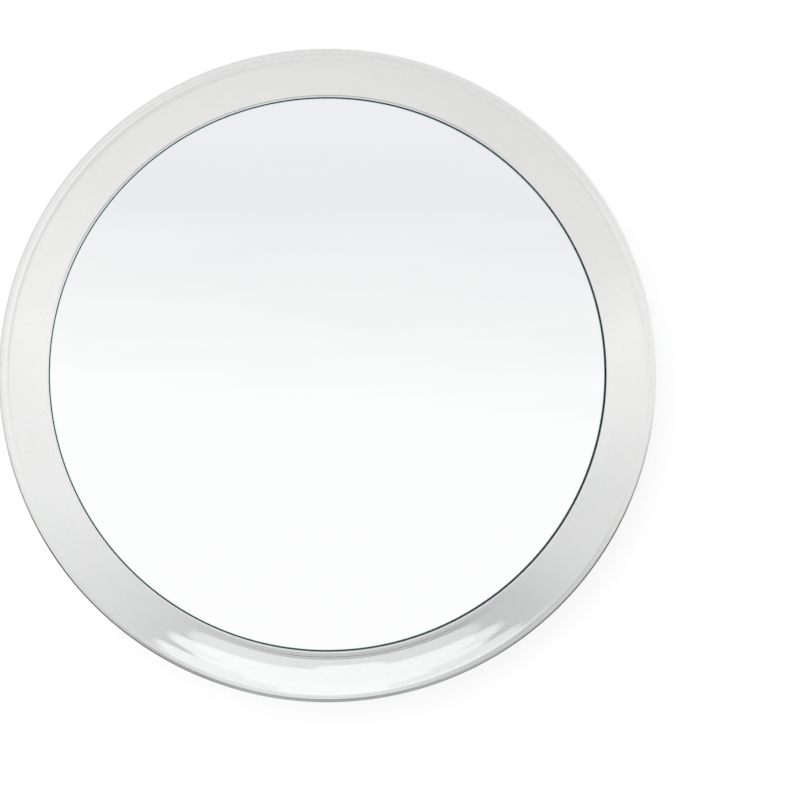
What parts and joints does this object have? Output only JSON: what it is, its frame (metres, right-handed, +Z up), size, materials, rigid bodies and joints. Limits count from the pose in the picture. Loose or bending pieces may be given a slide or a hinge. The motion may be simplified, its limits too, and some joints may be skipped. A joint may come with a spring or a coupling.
{
  "type": "wall magnifying mirror",
  "caption": "Round concave magnifying mirror in a glossy dished bezel, held on a wall by suction cups whose heads slide in keyholes in its back.",
  "frame": {"origin": "on the wall plane that the suction cups press on, at the mirror's axis", "axes": "+Y goes into the wall along the mirror's axis, -Y looks out of the glass at the viewer, +Z is up, +X is to the viewer's right"},
  "size_m": [0.1524, 0.0296, 0.1524],
  "materials": {
    "silver_acrylic": "clear glossy acrylic with a fine silver-grey paint coat on its back",
    "mirror_silver": "back-silvered float glass, polished, with a dark painted edge",
    "film_grey": "safety film",
    "foam_white": "closed-cell foam tape",
    "foam_grey": "closed-cell foam",
    "shell_grey": "fine moulded satin, silver-grey",
    "screw_steel": "plated steel",
    "soft_clear_vinyl": "clear soft vinyl, glossy"
  },
  "bodies": {
    "mirror": {"front_bezel": "silver_acrylic", "mirror_glass": "mirror_silver", "backing_film": "film_grey", "glass_tape": "foam_white", "centre_pad": "foam_grey", "rear_shell": "shell_grey", "cover_screw_1": "screw_steel", "cover_screw_2": "screw_steel", "cover_screw_3": "screw_steel", "cover_screw_4": "screw_steel", "cover_screw_5": "screw_steel", "cover_screw_6": "screw_steel"},
    "cup_top": {"suction_cup_top": "soft_clear_vinyl"},
    "cup_left": {"suction_cup_left": "soft_clear_vinyl"},
    "cup_right": {"suction_cup_right": "soft_clear_vinyl"}
  },
  "joints": [
    {"name": "keyhole_slide_top", "type": "slide", "parent": "mirror", "child": "cup_top", "axis": [0, 0, -1], "range_m": [0, 0.009]},
    {"name": "keyhole_slide_left", "type": "slide", "parent": "mirror", "child": "cup_left", "axis": [0, 0, -1], "range_m": [0, 0.009]},
    {"name": "keyhole_slide_right", "type": "slide", "parent": "mirror", "child": "cup_right", "axis": [0, 0, -1], "range_m": [0, 0.009]}
  ]
}
